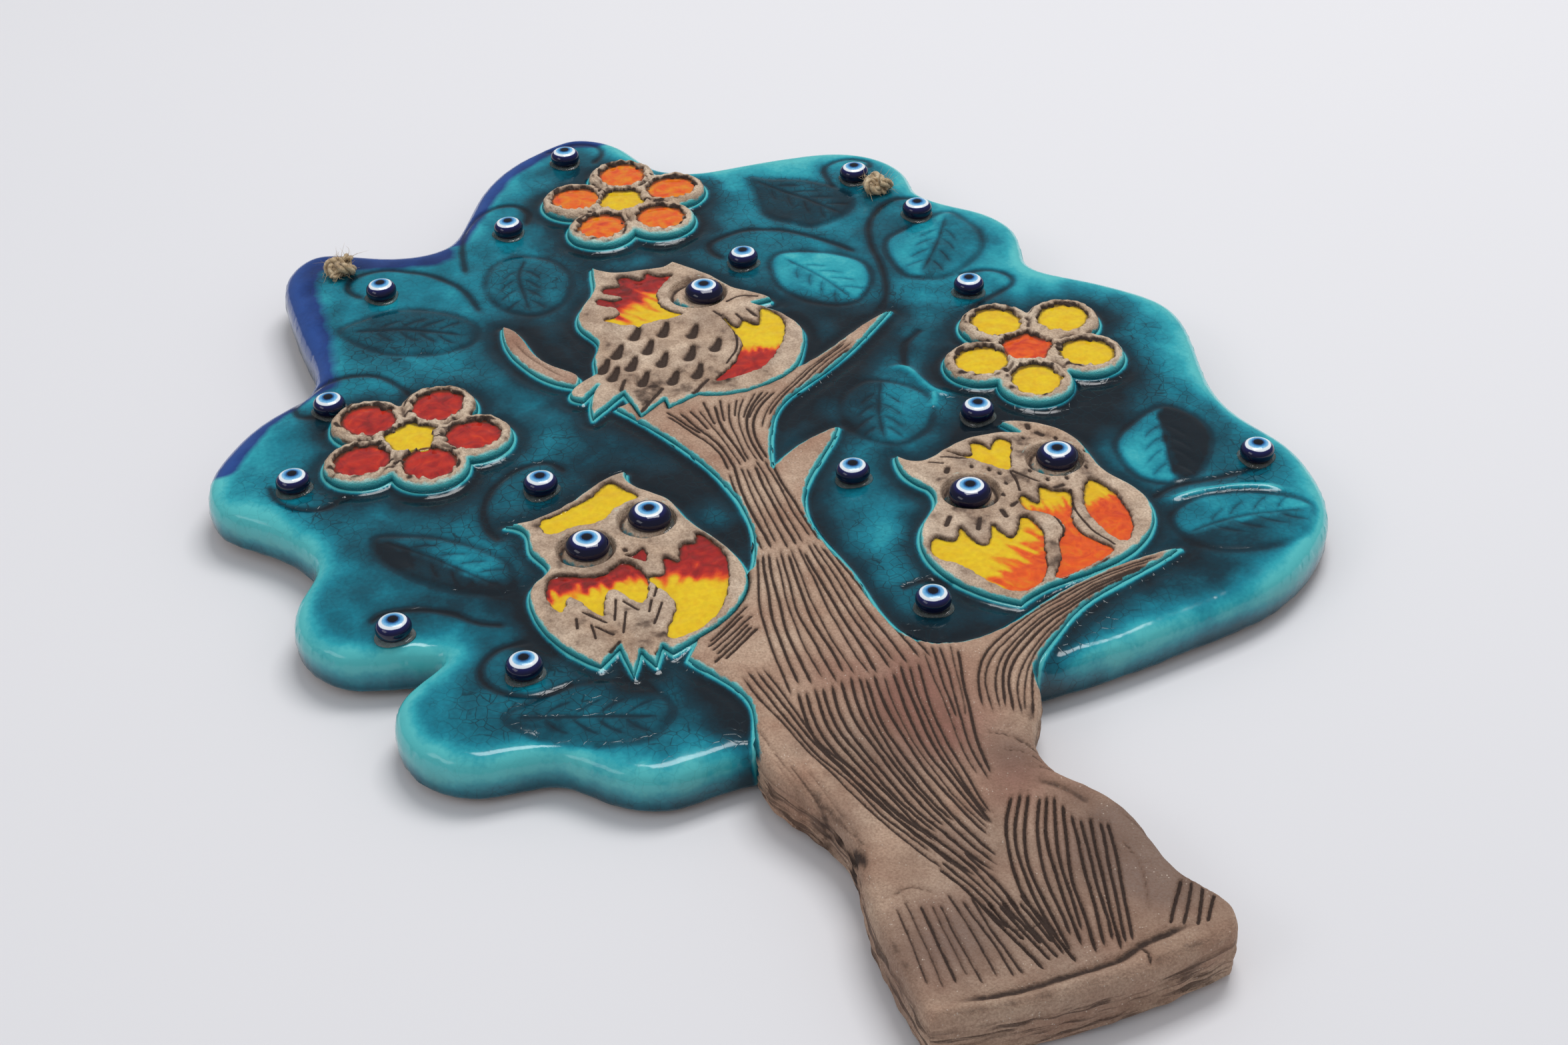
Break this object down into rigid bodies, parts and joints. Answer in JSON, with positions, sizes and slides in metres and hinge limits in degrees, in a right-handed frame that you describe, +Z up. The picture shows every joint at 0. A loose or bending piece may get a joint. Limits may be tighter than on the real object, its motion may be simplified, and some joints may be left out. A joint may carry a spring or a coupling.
{
  "type": "ceramic tree wall plaque",
  "caption": "Flat ceramic tree-shaped wall plaque with a glazed crown, bare combed trunk, relief owls and flowers, enamel pools, glass eye beads and a jute hanging cord.",
  "frame": {"origin": "midway between the mouths of the two hanging holes, on the flat back", "axes": "+X to the right seen from the front, +Z up the tree as it hangs, +Y out of the flat back towards the wall"},
  "size_m": [0.254, 0.021, 0.3681],
  "materials": {
    "turquoise_glaze": "glossy turquoise glaze with fine crackle, pale on the rims and near black where it pools",
    "combed_clay": "bare fired clay, combed, with dark brown stain in the grooves",
    "owl_clay": "bare fired clay, pale, stained in the hollows",
    "flower_clay": "bare fired clay rims with brown streaks",
    "orange_enamel": "glossy orange enamel",
    "yellow_enamel": "glossy yellow enamel",
    "red_enamel": "glossy deep red enamel",
    "red_orange_enamel": "glossy red-orange enamel running to yellow",
    "flame_enamel": "glossy enamel running from yellow to red",
    "bead_glass": "glossy navy glass with a white ring, a pale blue ring and a dark pupil",
    "clear_glue": "clear set glue",
    "jute": "twisted natural jute"
  },
  "bodies": {
    "plaque": {"crown_slab": "turquoise_glaze", "trunk": "combed_clay", "left_twig": "combed_clay", "owl_top": "owl_clay", "owl_left": "owl_clay", "owl_right": "owl_clay", "flower_top": "flower_clay", "flower_left": "flower_clay", "flower_right": "flower_clay", "flower_top_petals": "orange_enamel", "flower_top_centre": "yellow_enamel", "flower_left_centre": "yellow_enamel", "flower_right_petals": "yellow_enamel", "owl_left_brow": "yellow_enamel", "owl_right_brow": "yellow_enamel", "flower_left_petals": "red_enamel", "owl_left_beak": "red_enamel", "flower_right_centre": "red_orange_enamel", "owl_right_wing": "red_orange_enamel", "owl_right_belly": "red_orange_enamel", "owl_top_flame": "flame_enamel", "owl_top_breast": "flame_enamel", "owl_left_wing_near": "flame_enamel", "owl_left_wing_far": "flame_enamel", "owl_right_chest": "flame_enamel", "crown_bead_01": "bead_glass", "crown_bead_02": "bead_glass", "crown_bead_03": "bead_glass", "crown_bead_04": "bead_glass", "crown_bead_05": "bead_glass", "crown_bead_06": "bead_glass", "crown_bead_07": "bead_glass", "crown_bead_08": "bead_glass", "crown_bead_09": "bead_glass", "crown_bead_10": "bead_glass", "crown_bead_11": "bead_glass", "crown_bead_12": "bead_glass", "crown_bead_13": "bead_glass", "crown_bead_14": "bead_glass", "crown_bead_15": "bead_glass", "crown_bead_16": "bead_glass", "owl_top_eye": "bead_glass", "owl_left_eye_1": "bead_glass", "owl_left_eye_2": "bead_glass", "owl_right_eye_1": "bead_glass", "owl_right_eye_2": "bead_glass", "bead_adhesive": "clear_glue", "knot_left": "jute", "knot_right": "jute"},
    "cord": {"hanging_cord": "jute"}
  },
  "joints": [
    {"name": "cord_swing", "type": "hinge", "parent": "plaque", "child": "cord", "pos_m": [0, 0.0019, 0], "axis": [0.9991, 0, -0.0418], "range_deg": [0, 180]}
  ]
}
